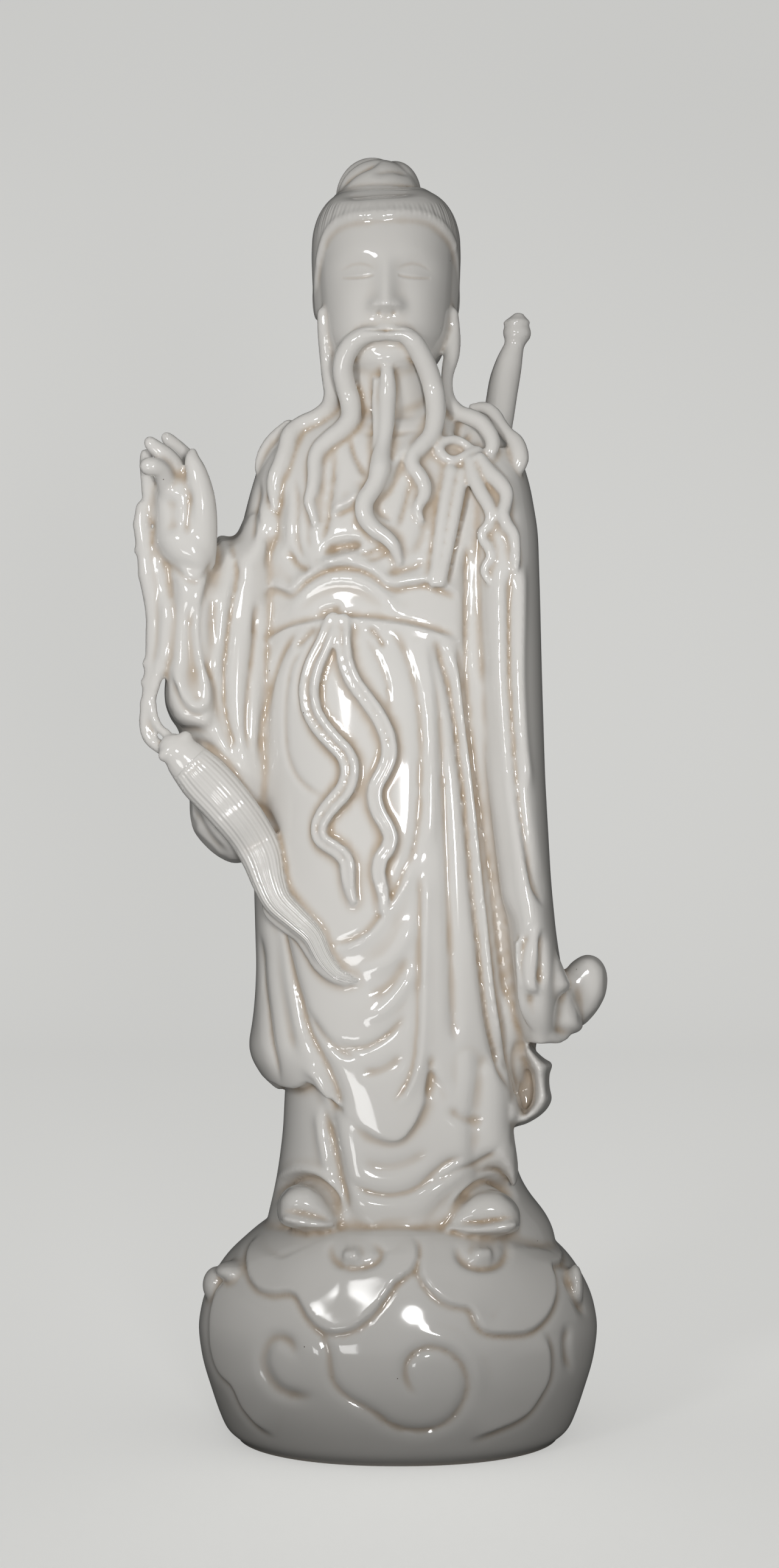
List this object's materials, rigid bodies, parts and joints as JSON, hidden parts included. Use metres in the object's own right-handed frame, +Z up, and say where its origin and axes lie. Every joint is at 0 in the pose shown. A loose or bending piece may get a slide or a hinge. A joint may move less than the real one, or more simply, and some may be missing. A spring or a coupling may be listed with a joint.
{
  "type": "porcelain immortal figure",
  "caption": "White glazed porcelain figure of a bearded robed immortal with a fly whisk, standing on a cloud base, hollow underneath.",
  "frame": {"origin": "middle of the whole figure's outline seen from above, on the plane of the foot rim it rests on", "axes": "+Z up from the foot to the hair bun, the figure faces -Y, +X is to a viewer's right (the figure's left hand side)"},
  "size_m": [0.138, 0.107, 0.3814],
  "materials": {
    "white_glaze": "glossy"
  },
  "bodies": {
    "root": {"immortal_figure": "white_glaze"}
  },
  "joints": []
}
